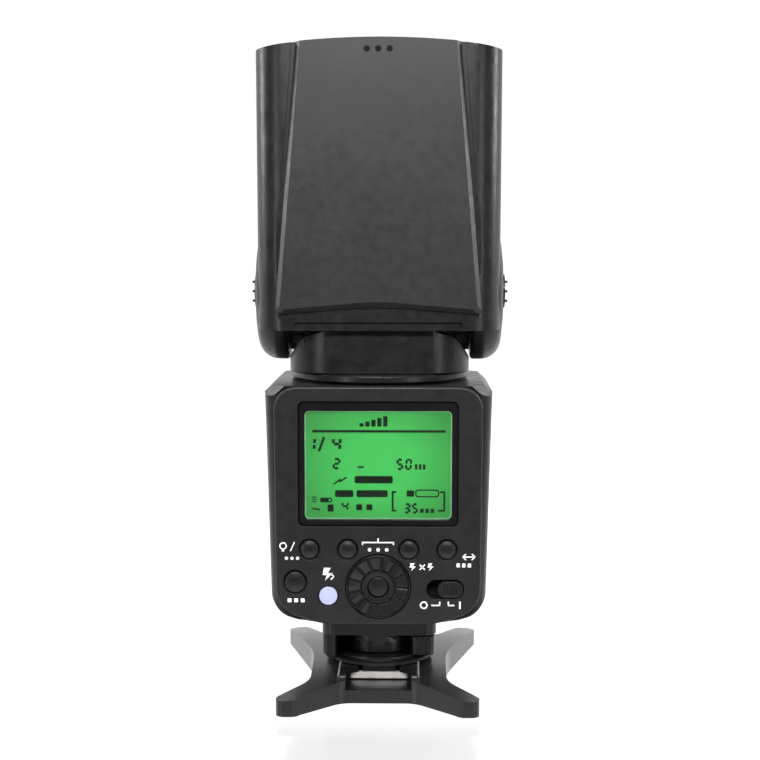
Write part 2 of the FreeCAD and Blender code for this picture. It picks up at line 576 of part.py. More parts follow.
def make_head():
    upper = Part.makeLoft([head_section(HEAD_HALF_LOW, PIVOT_Z, 0),
                           head_section(HEAD_HALF_TOP, HEAD_TOP_Z, 0)], True, True)
    skirt = Part.Face(head_section(HEAD_HALF_LOW, SKIRT_Z, 0)).extrude(Vector(0, 0, PIVOT_Z - SKIRT_Z))
    skirt = skirt.common(box(-60, 60, -60, -17.0, 0, 200))
    lobe = cheek()
    head = fuse(upper, skirt, lobe, mirror_x(lobe))
    cavity = Part.makeLoft([head_section(HEAD_HALF_LOW, 128.0, 2.4),
                            head_section(HEAD_HALF_TOP, 220.0, 2.4)], True, True)
    cavity = cut(cavity, box(-60, 60, -60, -22.6, 0, 300))
    yoke_room = fuse(rod_x(0, PIVOT_Z, BARREL_R + 0.4, -CHEEK_IN_X, CHEEK_IN_X),
                     box(-CHEEK_IN_X, CHEEK_IN_X, -23.6, 40, 100, PIVOT_Z + 2.5),
                     box(-CHEEK_IN_X, CHEEK_IN_X, 0, 40, 100, PIVOT_Z + 12.0))
    pocket = box(-22.6, 22.6, -30, -24.1, 138.0, 210.0)
    head = cut(head, cavity, yoke_room, pocket)
    bore = rod_x(0, PIVOT_Z, AXLE_R + RUN, 20, 36.6)
    seat = rod_x(0, PIVOT_Z, 12.9, 37.0, 45)
    well = rod_x(0, PIVOT_Z, 5.6, 36.0, 45)
    for tool in (bore, seat, well):
        head = cut(head, tool, mirror_x(tool))

    groove = prism(cover_outline(2.4), "y", -30, -25.7)
    inner_land = prism(cover_outline(1.2), "y", -30, -25.0)
    trench = cut(groove, inner_land)
    head = cut(head, trench)
    over = [(-25.6, 110.0, 0), (-25.6, 117.3, 1.2), (25.6, 117.3, 1.2), (25.6, 110.0, 0)]
    under = [(-25.0, 110.0, 0), (-25.0, 116.7, 1.0), (25.0, 116.7, 1.0), (25.0, 110.0, 0)]
    line = cut(prism(over, "y", -30, -25.4), prism(under, "y", -31, -25.0))
    line = cut(line, box(-60, 60, -40, -20, 100, 115.7))
    head = cut(head, line)
    for x in (-28.0, 28.0):
        for z in (146.0, 190.0):
            head = cut(head, rod_y(x, z, 1.9, HEAD_FRONT_Y - 1.2, 40))

    head = head.common(head_crown())
    rear = head.common(box(-60, 60, -60, HEAD_SPLIT_Y - 0.1, 0, 300))
    front = head.common(box(-60, 60, HEAD_SPLIT_Y + 0.1, 60, 0, 300))
    save("head_rear_shell", rear)
    save("head_front_shell", front)

    cover = cut(bevelled_cover().common(head_crown()), upper, skirt)
    for x in (-3.5, 0.0, 3.5):
        cover = cut(cover, rod_y(x, HEAD_TOP_Z - 2.6, 0.75, -30, -27.0))
    save("head_cover", cover)

    cap = cut(rod_x(0, PIVOT_Z, 12.8, 37.0, 38.6), rod_x(0, PIVOT_Z, 5.55, 36, 40))
    cap = soften(cap, 0.5, lambda edge: abs(edge.BoundBox.XMin - 38.6) < 0.01 and edge.BoundBox.YLength > 20)
    save("pivot_caps", both_sides(cap))
    button = rod_x(0, PIVOT_Z, 5.3, 37.3, 39.6)
    for i in range(3):
        ridge = box(39.5, 40.4, -3.6, 3.6, PIVOT_Z - 3.35 + 3.0 * i, PIVOT_Z - 2.65 + 3.0 * i)
        button = fuse(button, ridge)
    save("tilt_button_right", button)
    save("tilt_button_left", mirror_x(button))
    screws = []
    for x in (-28.0, 28.0):
        for z in (146.0, 190.0):
            top = HEAD_FRONT_Y - 0.25
            screws.append(cross_head(rod_y(x, z, 1.7, HEAD_FRONT_Y - 1.15, top), x, z, top, "y"))
    save("head_screws", Part.makeCompound(screws))


def bevelled_cover():
    base = outline(cover_outline(1.1), "y", HEAD_REAR_Y - 0.02)
    top = outline(cover_outline(-0.4), "y", COVER_REAR_Y)
    hem = prism(cover_outline(1.1), "y", HEAD_REAR_Y - 0.02, HEAD_REAR_Y + 1.6)
    return fuse(Part.makeLoft([base, top], True, True), hem)


def make_optics():
    rim = [(-34.6, -22.3, 6.5), (34.6, -22.3, 6.5), (34.6, 18.3, 4.6), (-34.6, 18.3, 4.6)]
    frame = prism(rim, "z", 193.5, 200.6)
    frame = cut(frame, prism(rect(-31.0, 31.0, -18.8, 14.8, 3.0), "z", 190, 197.4))
    frame = cut(frame, prism(rect(-32.2, 32.2, -20.0, 16.0, 3.2), "z", 197.4, 210))
    save("lens_frame", frame.common(head_crown()))
    lens = prism(rect(-32.0, 32.0, -19.8, 15.8, 3.1), "z", 197.5, 199.6)
    for i in range(9):
        y = -18.0 + 4.0 * i
        lens = cut(lens, box(-30.0, 30.0, y - 0.25, y + 0.25, 197.0, 198.0))
    save("fresnel_lens", lens)

    save("bounce_card", prism(rect(-21.8, 21.8, 140.0, 200.4, 2.0), "y", -25.95, -25.45))
    panel = [(-20.5, 152.0, 1.0), (20.5, 152.0, 1.0), (20.5, 200.4, 3.0), (-20.5, 200.4, 3.0)]
    save("wide_panel", prism(panel, "y", -25.1, -24.4))

    rods = [rod_z(x, ROD_Y, ROD_R, 128.0, 193.5) for x in (-ROD_X, ROD_X)]
    save("guide_rods", Part.makeCompound(rods))
    cradle = prism(rect(-30.2, 30.2, -20.5, 12.5, 2.0), "z", 146.0, 151.0)
    for x in (-ROD_X, ROD_X):
        inner = x * 0.9
        cradle = fuse(cradle, rod_z(x, ROD_Y, ROD_R + 1.1, 146.0, 156.0),
                      box(min(x, inner), max(x, inner), ROD_Y - 1.2, ROD_Y + 1.2, 146.0, 151.0))
    cradle = fuse(cradle, rod_z(SCREW_X, SCREW_Y, 3.4, 146.0, 151.0))
    for x in (-ROD_X, ROD_X):
        cradle = cut(cradle, rod_z(x, ROD_Y, ROD_R + RUN, 100, 200))
    cradle = cut(cradle, rod_z(SCREW_X, SCREW_Y, SCREW_R + RUN, 100, 200))
    cradle = cut(cradle, prism(rect(-28.6, 28.6, -17.6, 9.6, 1.0), "z", 148.0, 160.0))
    save("zoom_carriage", cradle)

    trough = prism([(-17.3, 172.5, 0), (-16.2, 160.0, 8.0), (-8.0, 148.3, 6.0), (0.0, 148.3, 6.0),
                    (8.2, 160.0, 8.0), (9.3, 172.5, 0)], "x", -28.3, 28.3)
    hollow = prism([(-16.5, 173.0, 0), (-15.4, 160.4, 7.4), (-7.6, 149.2, 5.4), (-0.4, 149.2, 5.4),
                    (7.4, 160.4, 7.4), (8.5, 173.0, 0)], "x", -27.5, 27.5)
    reflector = cut(trough, hollow)
    for x in (-28.4, 28.4):
        reflector = cut(reflector, rod_x(-4.0, 155.5, 2.0, x - 1.2, x + 1.2))
    save("reflector", reflector)
    tube = rod_x(-4.0, 155.5, 1.9, -29.6, 29.6)
    save("flash_tube", tube)
    save("zoom_screw", rod_z(SCREW_X, SCREW_Y, SCREW_R, 143.0, 178.2))
    motor = rod_z(SCREW_X, SCREW_Y, 4.2, 178.0, 190.0)
    save("zoom_motor", cut(motor, rod_z(SCREW_X, SCREW_Y, SCREW_R + RUN, 177.0, 178.4)))
    board = box(-10.0, 24.0, 15.4, 16.8, 141.0, 176.0)
    chips = [box(-4.0, 6.0, 13.4, 15.4, 146, 158), box(10, 18, 13.6, 15.4, 150, 164)]
    save("head_board", fuse(board, *chips))


make_stand()
make_foot()
case = make_body_shells()
make_controls()
make_body_inside()
make_body_outside(case)
make_neck()
make_head()
make_optics()
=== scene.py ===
import json
import math

import bmesh
import bpy
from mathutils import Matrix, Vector


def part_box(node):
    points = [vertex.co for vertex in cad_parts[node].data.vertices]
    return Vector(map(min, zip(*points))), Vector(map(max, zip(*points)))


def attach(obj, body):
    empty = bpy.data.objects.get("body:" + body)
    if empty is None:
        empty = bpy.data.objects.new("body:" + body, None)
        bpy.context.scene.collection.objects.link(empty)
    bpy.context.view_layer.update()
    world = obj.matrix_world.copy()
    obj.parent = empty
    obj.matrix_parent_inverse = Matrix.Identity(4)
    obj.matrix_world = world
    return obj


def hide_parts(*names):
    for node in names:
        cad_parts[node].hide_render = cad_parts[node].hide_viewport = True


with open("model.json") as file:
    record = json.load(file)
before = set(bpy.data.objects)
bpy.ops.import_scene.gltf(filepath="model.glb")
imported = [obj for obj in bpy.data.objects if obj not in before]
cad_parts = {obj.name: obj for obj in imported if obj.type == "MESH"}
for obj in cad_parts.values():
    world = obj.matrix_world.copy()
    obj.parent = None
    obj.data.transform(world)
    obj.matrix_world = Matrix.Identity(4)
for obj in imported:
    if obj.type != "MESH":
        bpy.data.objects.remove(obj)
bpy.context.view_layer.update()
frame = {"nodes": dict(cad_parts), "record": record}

MM = 0.001


# ---- materials: every surface is procedural, in object (row frame) metres ----
def new_material(name):
    material = bpy.data.materials.new(name)
    material.use_nodes = True
    tree = material.node_tree
    return material, tree, tree.nodes["Principled BSDF"]


def noise(tree, scale, detail=3.0, roughness=0.6, stretch=(1, 1, 1)):
    """Noise in row-frame coordinates; scale is in cycles per metre."""
    coords = tree.nodes.new("ShaderNodeTexCoord")
    mapping = tree.nodes.new("ShaderNodeMapping")
    mapping.inputs["Scale"].default_value = stretch
    texture = tree.nodes.new("ShaderNodeTexNoise")
    texture.inputs["Scale"].default_value = scale
    texture.inputs["Detail"].default_value = detail
    texture.inputs["Roughness"].default_value = roughness
    tree.links.new(coords.outputs["Object"], mapping.inputs["Vector"])
    tree.links.new(mapping.outputs["Vector"], texture.inputs["Vector"])
    return texture.outputs["Fac"]


def ramp(tree, source, low, high, start=0.3, stop=0.7):
    node = tree.nodes.new("ShaderNodeMapRange")
    node.inputs["From Min"].default_value = start
    node.inputs["From Max"].default_value = stop
    node.inputs["To Min"].default_value = low
    node.inputs["To Max"].default_value = high
    tree.links.new(source, node.inputs["Value"])
    return node.outputs["Result"]


def mix_colors(tree, factor, first, second):
    node = tree.nodes.new("ShaderNodeMix")
    node.data_type = "RGBA"
    node.inputs["A"].default_value = (*first, 1)
    node.inputs["B"].default_value = (*second, 1)
    tree.links.new(factor, node.inputs["Factor"])
    return node.outputs["Result"]


def bump(tree, shader, height, strength, distance):
    node = tree.nodes.new("ShaderNodeBump")
    node.inputs["Strength"].default_value = strength
    node.inputs["Distance"].default_value = distance
    tree.links.new(height, node.inputs["Height"])
    tree.links.new(node.outputs["Normal"], shader.inputs["Normal"])


def plastic(name, base, roughness, grain=2600.0, strength=0.25, spread=0.06):
    """Moulded plastic with a fine spark-eroded grain and slow mottling."""
    material, tree, shader = new_material(name)
    slow = ramp(tree, noise(tree, 90.0, 4.0), 0.0, 1.0)
    lighter = tuple(min(1.0, c * 1.25 + 0.002) for c in base)
    body = mix_colors(tree, slow, base, lighter)
    tree.links.new(body, shader.inputs["Base Color"])
    fine = noise(tree, grain, 2.0, 0.5)
    patches = ramp(tree, noise(tree, 320.0, 3.0), roughness - spread, roughness + spread)
    tree.links.new(patches, shader.inputs["Roughness"])
    shader.inputs["IOR"].default_value = 1.5
    shader.inputs["Specular IOR Level"].default_value = 0.35
    bump(tree, shader, fine, strength, 0.02 * MM)
    return material


def metal(name, base, roughness, stretch=(1, 1, 1), strength=0.15, metallic=1.0):
    """Metal with fine directional brushing and slight tarnish."""
    material, tree, shader = new_material(name)
    shader.inputs["Metallic"].default_value = metallic
    darker = tuple(c * 0.8 for c in base)
    tarnish = ramp(tree, noise(tree, 240.0, 5.0), 0.0, 1.0)
    tree.links.new(mix_colors(tree, tarnish, base, darker), shader.inputs["Base Color"])
    scratch = noise(tree, 1800.0, 2.0, 0.5, stretch)
    tree.links.new(ramp(tree, scratch, roughness * 0.7, roughness * 1.4), shader.inputs["Roughness"])
    bump(tree, shader, scratch, strength, 0.01 * MM)
    return material


def clear(name, tint, roughness, ior=1.49):
    """Clear moulded plastic or glass with faint flow marks."""
    material, tree, shader = new_material(name)
    shader.inputs["Transmission Weight"].default_value = 1.0
    shader.inputs["IOR"].default_value = ior
    pale = tuple(min(1.0, c * 1.03) for c in tint)
    clouds = ramp(tree, noise(tree, 60.0), 0.0, 1.0)
    tree.links.new(mix_colors(tree, clouds, tint, pale), shader.inputs["Base Color"])
    flow = noise(tree, 500.0, 2.0, 0.5)
    tree.links.new(ramp(tree, flow, roughness, roughness + 0.03), shader.inputs["Roughness"])
    bump(tree, shader, flow, 0.03, 0.01 * MM)
    return material


def lcd_backlight():
    """Green backlit display: brightest in the middle, dimming to the edges."""
    material, tree, shader = new_material("lcd_backlight")
    low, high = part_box("lcd_module")
    coords = tree.nodes.new("ShaderNodeTexCoord")
    mapping = tree.nodes.new("ShaderNodeMapping")
    center = (Vector(low) + Vector(high)) / 2
    glow_x, glow_z = 26 * MM, 22 * MM
    mapping.inputs["Location"].default_value = (-center.x / glow_x, 0.0, -center.z / glow_z)
    mapping.inputs["Scale"].default_value = (1 / glow_x, 0.0, 1 / glow_z)
    gradient = tree.nodes.new("ShaderNodeTexGradient")
    gradient.gradient_type = "SPHERICAL"
    tree.links.new(coords.outputs["Object"], mapping.inputs["Vector"])
    tree.links.new(mapping.outputs["Vector"], gradient.inputs["Vector"])
    level = ramp(tree, gradient.outputs["Fac"], 0.0, 1.0, 0.0, 0.6)
    glow = mix_colors(tree, level, (0.034, 0.26, 0.05), (0.05, 0.44, 0.085))
    tree.links.new(glow, shader.inputs["Base Color"])
    tree.links.new(glow, shader.inputs["Emission Color"])
    shader.inputs["Emission Strength"].default_value = 0.55
    tree.links.new(ramp(tree, noise(tree, 900.0), 0.4, 0.6), shader.inputs["Roughness"])
    return material


MATERIALS = {
    "black_shell": plastic("black_shell", (0.007, 0.007, 0.0078), 0.34),
    "black_cover": plastic("black_cover", (0.016, 0.016, 0.017), 0.40, grain=3200.0),
    "black_panel": plastic("black_panel", (0.010, 0.010, 0.011), 0.40, grain=3200.0, strength=0.15),
    "black_key": plastic("black_key", (0.009, 0.009, 0.010), 0.28, strength=0.10),
    "black_bezel": plastic("black_bezel", (0.006, 0.006, 0.007), 0.22, strength=0.03, spread=0.03),
    "clear_plastic": clear("clear_plastic", (0.95, 0.97, 0.95), 0.01),
    "lcd_green": lcd_backlight(),
    "lens_clear": clear("lens_clear", (0.93, 0.94, 0.93), 0.06),
    "lens_red": clear("lens_red", (0.30, 0.012, 0.014), 0.05),
    "lamp_cap": plastic("lamp_cap", (0.40, 0.42, 0.64), 0.30, strength=0.08),
    "white_card": plastic("white_card", (0.80, 0.80, 0.79), 0.42),
    "grey_inner": plastic("grey_inner", (0.09, 0.09, 0.09), 0.5),
    "green_board": plastic("green_board", (0.012, 0.08, 0.03), 0.3),
    "cell_sleeve": plastic("cell_sleeve", (0.10, 0.11, 0.13), 0.25),
    "steel": metal("steel", (0.56, 0.56, 0.57), 0.28, (0.2, 1, 1)),
    "dark_steel": metal("dark_steel", (0.07, 0.07, 0.075), 0.35),
    "bright_foot": metal("bright_foot", (0.80, 0.77, 0.75), 0.35, (0.15, 1, 1), strength=0.02, metallic=0.35),
    "brass": metal("brass", (0.78, 0.56, 0.24), 0.25),
    "reflector_mirror": metal("reflector_mirror", (0.9, 0.9, 0.91), 0.08),
    "tube_glass": clear("tube_glass", (0.92, 0.92, 0.94), 0.02, 1.47),
    "capacitor_sleeve": plastic("capacitor_sleeve", (0.012, 0.012, 0.016), 0.25),
    "rubber": plastic("rubber", (0.016, 0.016, 0.016), 0.68),
    "stand_plastic": plastic("stand_plastic", (0.008, 0.008, 0.009), 0.24, strength=0.015, spread=0.02),
}
LCD_INK = plastic("lcd_ink", (0.004, 0.016, 0.006), 0.5, strength=0.02)
LCD_RIM = plastic("lcd_rim", (0.30, 0.62, 0.36), 0.25, strength=0.02)
LABEL_INK = plastic("label_ink", (0.80, 0.80, 0.80), 0.5, strength=0.05)
GLOSS_KEY = plastic("gloss_key", (0.012, 0.012, 0.013), 0.14, strength=0.02, spread=0.03)
# Painted shade: near-black, matt material for flat pieces that stand in for the shade inside holes and slots.
HOLE_SHADE = plastic("painted_hole_shade", (0.002, 0.002, 0.002), 0.9, strength=0.05)

# Rounding, in mm, of the sharp edges of the shown CAD nodes.
EDGE_ROUNDING = {
    "head_rear_shell": 0.5, "head_front_shell": 0.5, "pivot_caps": 0.2, "lens_frame": 0.3,
    "tilt_button_right": 0.15, "tilt_button_left": 0.15, "neck_rear_shell": 0.5, "neck_front_shell": 0.5,
    "swivel_ring": 0.3, "body_rear_shell": 0.5, "body_front_shell": 0.5, "control_fascia": 0.2,
    "lcd_bezel": 0.2, "power_switch": 0.15, "foot_housing": 0.3, "lock_lever": 0.15, "shoe_plate": 0.2,
    "stand_base": 0.6, "battery_door": 0.3, "door_latch": 0.12, "port_cover": 0.2, "assist_window": 0.3,
}


def dress_cad_nodes():
    for entry in frame["record"]["subparts"]:
        node = frame["nodes"][entry["node"]]
        for material_slot in node.material_slots:
            material_slot.material = MATERIALS[entry["material_slot"]]
        if entry["node"] in EDGE_ROUNDING:
            round_edges(node, EDGE_ROUNDING[entry["node"]] * MM)


def round_edges(node, width):
    """Merges a CAD mesh's flat facets and rounds its sharp edges by width metres."""
    weld = node.modifiers.new("weld", "WELD")
    weld.merge_threshold = 0.000002
    planar = node.modifiers.new("planar", "DECIMATE")
    planar.decimate_type = "DISSOLVE"
    planar.angle_limit = math.radians(0.4)
    bevel = node.modifiers.new("bevel", "BEVEL")
    bevel.width = width
    bevel.segments = 2
    bevel.limit_method = "ANGLE"
    bevel.angle_limit = math.radians(32)
    weighted = node.modifiers.new("weighted", "WEIGHTED_NORMAL")
    weighted.weight = 100


# ---- shapes: outlines are (x, z) in mm, facing -Y ----
def rounded(x0, x1, z0, z1, r, steps=5):
    points = []
    corners = ((x1 - r, z1 - r, 0), (x0 + r, z1 - r, 90), (x0 + r, z0 + r, 180), (x1 - r, z0 + r, 270))
    for cx, cz, start in corners:
        for i in range(steps + 1):
            turn = math.radians(start + 90 * i / steps)
            points.append((cx + r * math.cos(turn), cz + r * math.sin(turn)))
    return points


def circle(x, z, r, count=32):
    turns = [2 * math.pi * i / count for i in range(count)]
    return [(x + r * math.cos(t), z + r * math.sin(t)) for t in turns]


def stroke(x0, z0, x1, z1, width):
    run = Vector((x1 - x0, z1 - z0)).normalized() * width / 2
    side = Vector((-run.y, run.x))
    return [(x0 + side.x, z0 + side.y), (x0 - side.x, z0 - side.y),
            (x1 - side.x, z1 - side.y), (x1 + side.x, z1 + side.y)]


def add_plate(build, points, front, back):
    """Flat plate with this outline, between two Y levels in mm."""
    near = [build.verts.new((x * MM, front * MM, z * MM)) for x, z in points]
    far = [build.verts.new((x * MM, back * MM, z * MM)) for x, z in points]
    build.faces.new(near)
    build.faces.new(list(reversed(far)))
    for i in range(len(points)):
        j = (i + 1) % len(points)
        build.faces.new((near[i], far[i], far[j], near[j]))


def add_band(build, outer, inner, front, back):
    """Flat band between two outlines that have the same number of points."""
    loops = []
    for points, level in ((outer, front), (inner, front), (inner, back), (outer, back)):
        loops.append([build.verts.new((x * MM, level * MM, z * MM)) for x, z in points])
    count = len(outer)
    for a, b in zip(loops, loops[1:] + loops[:1]):
        for i in range(count):
            j = (i + 1) % count
            build.faces.new((a[i], a[j], b[j], b[i]))


def add_lathe(build, x, z, profile, count=48):
    """Turned shape about an axis along Y; the profile is (radius, y) in mm, closed at both ends."""
    loops = []
    for radius, level in profile:
        ring = circle(x, z, radius, count)
        loops.append([build.verts.new((px * MM, level * MM, pz * MM)) for px, pz in ring])
    for a, b in zip(loops, loops[1:]):
        for i in range(count):
            j = (i + 1) % count
            build.faces.new((a[i], a[j], b[j], b[i]))
    build.faces.new(loops[0])
    build.faces.new(list(reversed(loops[-1])))


def make_piece(name, build, material, body, replaced=(), smooth_degrees=0.0):
    bmesh.ops.recalc_face_normals(build, faces=build.faces)
    if smooth_degrees:
        for face in build.faces:
            face.smooth = True
        for edge in build.edges:
            if len(edge.link_faces) == 2 and edge.calc_face_angle(0.0) > math.radians(smooth_degrees):
                edge.smooth = False
    mesh = bpy.data.meshes.new(name)
    build.to_mesh(mesh)
    build.free()
    mesh.materials.append(material)
    piece = bpy.data.objects.new(name, mesh)
    bpy.context.scene.collection.objects.link(piece)
    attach(piece, body)
    if replaced:
        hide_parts(*replaced)
    return piece


# ---- display: backlit sheet and segment ink behind the window ----
SHEET_FRONT = -28.6
SHEET_BACK = -28.45
INK_FRONT = -28.66
# Each digit on the display: figure, lower left corner, width, height and line width in mm.
DIGITS = (
    ("1", -19.9, 78.6, 0.7, 4.1, 0.85), ("4", -14.2, 78.6, 2.9, 4.1, 0.85),
    ("2", -13.9, 72.9, 2.3, 3.5, 0.7), ("5", 5.4, 72.75, 2.1, 3.5, 0.7),
    ("0", 8.1, 72.75, 2.0, 3.5, 0.65), ("4", -11.3, 60.2, 2.2, 2.8, 0.6),
    ("3", 7.7, 59.4, 2.0, 3.2, 0.65), ("5", 10.1, 59.4, 1.9, 3.2, 0.65),
)
SEGMENTS = {"0": "abcdef", "1": "ef", "2": "abged", "3": "abgcd", "4": "fgbc", "5": "afgcd"}


def segment_digit(build, digit, x, z, width, height, ink):
    """Seven-segment digit leaning slightly to the right; (x, z) is its lower left corner."""
    lean = 0.06 * height
    low, middle, high = z + ink / 2, z + height / 2, z + height - ink / 2
    left, right = x + ink / 2, x + width - ink / 2
    gap = ink * 0.3
    ends = {
        "a": (left + gap + lean, high, right - gap + lean, high),
        "g": (left + gap + lean / 2, middle, right - gap + lean / 2, middle),
        "d": (left + gap, low, right - gap, low),
        "f": (left + lean / 2, middle + gap, left + lean, high - gap / 2),
        "e": (left, low + gap / 2, left + lean / 2, middle - gap),
        "b": (right + lean / 2, middle + gap, right + lean, high - gap / 2),
        "c": (right, low + gap / 2, right + lean / 2, middle - gap),
    }
    for name in SEGMENTS[digit]:
        add_plate(build, stroke(*ends[name], ink), INK_FRONT, SHEET_FRONT)


def bolt(x, z, size):
    shape = [(0.10, 1.0), (0.62, 1.0), (0.40, 0.60), (0.78, 0.60), (0.16, 0.0), (0.34, 0.44), (0.0, 0.44)]
    return [(x + a * size, z + b * size) for a, b in shape]


def make_display():
    build = bmesh.new()
    add_plate(build, rounded(-22.25, 22.25, 57.7, 90.7, 1.3), SHEET_FRONT, SHEET_BACK)
    make_piece("display_sheet", build, MATERIALS["lcd_green"], "case")
    rim = bmesh.new()
    rim_inside = rounded(-21.95, 21.95, 58.05, 90.45, 1.1)
    add_band(rim, rounded(-22.3, 22.3, 57.7, 90.7, 1.35), rim_inside, -28.68, -28.61)
    make_piece("display_rim", rim, LCD_RIM, "case")

    ink = bmesh.new()
    flat = [
        stroke(-19.96, 84.55, 20.38, 84.55, 0.75),
        stroke(-18.0, 78.4, -16.4, 82.8, 0.75),
        stroke(-6.2, 73.6, -4.4, 73.6, 0.55),
        rounded(-7.17, 4.42, 68.66, 70.89, 0.6),
        rounded(-13.14, -7.57, 64.4, 66.53, 0.5),
        rounded(-6.59, 2.87, 64.4, 66.53, 0.5),
        rounded(-6.7, -4.9, 60.4, 62.2, 0.3),
        rounded(-3.6, -1.8, 60.4, 62.2, 0.3),
        rounded(8.63, 10.91, 64.6, 66.5, 0.4),
        rounded(-17.62, -15.2, 62.8, 64.2, 0.2),
        rounded(-15.4, -13.6, 59.9, 62.1, 0.3),
        stroke(-20.1, 60.9, -17.7, 60.5, 0.5),
        stroke(-13.6, 68.3, -11.5, 69.9, 0.5),
        stroke(-11.5, 69.9, -11.7, 69.0, 0.45),
        stroke(-11.8, 69.0, -9.6, 70.5, 0.5),
    ]
    for x in (-5.7, -3.9, -2.1, -0.3, 1.5):
        flat.append(rounded(x, x + 1.3, 86.0, 86.0 + 0.9 + 0.3 * (x + 6.0), 0.15))
    for z in (62.95, 63.65, 64.35):
        flat.append(stroke(-20.1, z, -18.8, z, 0.35))
    for x in (11.1, 12.3, 13.5):
        flat.append(rounded(x, x + 0.8, 72.9, 74.5, 0.1))
    for x in (12.7, 14.3, 15.9):
        flat.append(rounded(x, x + 1.1, 59.6, 60.9, 0.1))
    brackets = ((5.5, 66.0, 4.3, 66.0), (4.35, 66.25, 4.35, 60.1), (4.3, 60.3, 5.5, 60.3),
                (18.7, 66.0, 20.2, 66.0), (20.05, 66.25, 20.05, 60.1), (20.2, 60.3, 18.1, 60.3))
    for line in brackets:
        flat.append(stroke(*line, 0.55))
    for points in flat:
        add_plate(ink, points, INK_FRONT, SHEET_FRONT)
    frame_inside = rounded(11.6, 18.1, 64.8, 66.4, 0.5)
    add_band(ink, rounded(11.22, 18.5, 64.4, 66.8, 0.8), frame_inside, INK_FRONT, SHEET_FRONT)
    add_band(ink, circle(-14.7, 63.5, 0.75, 20), circle(-14.7, 63.5, 0.4, 20), INK_FRONT, SHEET_FRONT)
    for digit, x, z, width, height, line in DIGITS:
        segment_digit(ink, digit, x, z, width, height, line)
    make_piece("display_ink", ink, LCD_INK, "case")


# ---- controls ----
CAP_RADIUS = {"key_light": 2.75, "key_minus": 2.75, "key_plus": 2.75, "key_zoom": 2.75,
              "mode_button": 3.2, "pilot_button": 2.8, "set_button": 3.0}
CAP_EDGE = 0.35
CAP_DEPTH = 2.6


def round_cap(node, body, material, dome=0.45):
    """Domed cap in place of a CAD key."""
    low, high = (Vector(c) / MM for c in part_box(node))
    x, z = (low.x + high.x) / 2, (low.z + high.z) / 2
    radius = CAP_RADIUS[node]
    top = low.y
    profile = []
    for i in range(9):
        share = i / 8
        profile.append((max(0.02, (radius - CAP_EDGE) * share), top + dome * share ** 2.2))
    for i in range(1, 6):
        turn = math.radians(90 * i / 5)
        drop = CAP_EDGE * (1 - math.cos(turn))
        profile.append((radius - CAP_EDGE + CAP_EDGE * math.sin(turn), top + dome + drop))
    profile += [(radius, top + CAP_DEPTH), (0.02, top + CAP_DEPTH)]
    build = bmesh.new()
    add_lathe(build, x, z, profile)
    make_piece(node + "_cap", build, material, body, (node,), 50)


DIAL_SIDES = 72
WEDGE_COUNT = 13
WEDGE_FOOT = -30.3


def make_dial():
    """Select dial: raised glossy wedges around a plain hub."""
    low, high = (Vector(c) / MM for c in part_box("select_dial"))
    z = (low.z + high.z) / 2
    disc = bmesh.new()
    profile = [(3.35, -29.6), (3.35, -31.0), (3.7, -31.1), (4.9, -31.1), (5.2, -30.3), (9.0, -30.3),
               (9.45, -30.9), (9.65, -30.75), (9.7, -30.4), (9.7, -29.5)]
    loops = [[disc.verts.new((px * MM, level * MM, pz * MM)) for px, pz in circle(0, z, radius, DIAL_SIDES)]
             for radius, level in profile]
    for a, b in zip(loops, loops[1:] + loops[:1]):
        for i in range(DIAL_SIDES):
            j = (i + 1) % DIAL_SIDES
            disc.faces.new((a[i], a[j], b[j], b[i]))
    make_piece("select_dial_disc", disc, MATERIALS["black_key"], "dial", ("select_dial",), 40)
    wedges = bmesh.new()
    for i in range(WEDGE_COUNT):
        start = 2 * math.pi * (i + 0.06) / WEDGE_COUNT
        stop = 2 * math.pi * (i + 0.86) / WEDGE_COUNT
        near = []
        far = []
        for share, radius, height in ((0.0, 5.5, 0.70), (0.0, 9.1, 0.98), (0.5, 9.2, 0.98), (1.0, 9.1, 0.62),
                                      (1.0, 5.5, 0.40), (0.5, 5.4, 0.60)):
            turn = start + (stop - start) * share
            px, pz = radius * math.cos(turn) * MM, (z + radius * math.sin(turn)) * MM
            near.append(wedges.verts.new((px, (WEDGE_FOOT - height) * MM, pz)))
            far.append(wedges.verts.new((px, (WEDGE_FOOT + 0.1) * MM, pz)))
        for a in range(6):
            b = (a + 1) % 6
            wedges.faces.new((near[a], far[a], far[b], near[b]))
        wedges.faces.new((near[0], near[1], near[2], near[5]))
        wedges.faces.new((near[5], near[2], near[3], near[4]))
        wedges.faces.new(list(reversed(far)))
    piece = make_piece("select_dial_wedges", wedges, GLOSS_KEY, "dial")
    bevel = piece.modifiers.new("bevel", "BEVEL")
    bevel.width = 0.28 * MM
    bevel.segments = 4
    bevel.limit_method = "ANGLE"
    bevel.angle_limit = math.radians(40)


